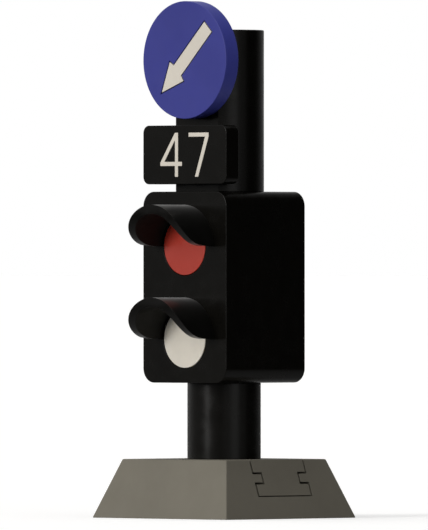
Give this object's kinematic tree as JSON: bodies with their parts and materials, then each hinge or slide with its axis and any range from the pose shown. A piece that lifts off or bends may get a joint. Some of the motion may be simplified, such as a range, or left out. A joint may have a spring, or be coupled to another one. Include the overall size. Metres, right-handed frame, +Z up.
{
  "type": "model railway signal",
  "caption": "Two-lamp model signal: hooded lamps in a rectangular head on a round mast, number plate and direction disc above, mast keyed into a sloped square base.",
  "frame": {"origin": "on the lower mast's axis, at the underside of the base", "axes": "+Z up along the mast, -Y towards the viewer the lamps face, +X to the right when facing the lamps' back, the side the mast's key slides out of"},
  "size_m": [0.0322, 0.0331, 0.0878],
  "materials": {
    "base_stone": "matte printed stone grey",
    "black_plastic": "satin black",
    "disc_blue": "satin blue",
    "ivory_plastic": "satin ivory white",
    "red_lens": "tinted lens",
    "white_lens": "milky lens",
    "red_epoxy": "clear tinted",
    "clear_epoxy": "clear",
    "board_green": "solder mask",
    "resistor_tan": "lacquered",
    "steel": "zinc plated",
    "black_steel": "blackened",
    "jack_black": "moulded black",
    "baffle_black": "matte black",
    "wire_black": "PVC insulation",
    "wire_red": "PVC insulation",
    "wire_white": "PVC insulation"
  },
  "bodies": {
    "base": {"base_block": "base_stone"},
    "mast": {"foot_key": "base_stone", "feed_jack": "jack_black", "lower_mast": "black_plastic", "mast_grub_screws": "black_steel", "head_housing": "black_plastic", "upper_visor": "black_plastic", "lower_visor": "black_plastic", "red_lens": "red_lens", "white_lens": "white_lens", "lamp_baffle": "baffle_black", "red_led": "red_epoxy", "white_led": "clear_epoxy", "lamp_board": "board_green", "series_resistors": "resistor_tan", "board_screws": "steel", "common_wire": "wire_black", "red_wire": "wire_red", "white_wire": "wire_white", "upper_mast": "black_plastic", "upper_mast_screws": "steel", "sign_disc": "disc_blue", "sign_arrow": "ivory_plastic", "number_plate": "black_plastic", "number_digits": "ivory_plastic"},
    "cover": {"rear_cover": "black_plastic"}
  },
  "joints": [
    {"name": "mast_slide", "type": "slide", "parent": "base", "child": "mast", "axis": [1, 0, 0], "range_m": [0, 0.025]},
    {"name": "rear_cover_pull", "type": "slide", "parent": "mast", "child": "cover", "axis": [0, 1, 0], "range_m": [0, 0.012]}
  ]
}
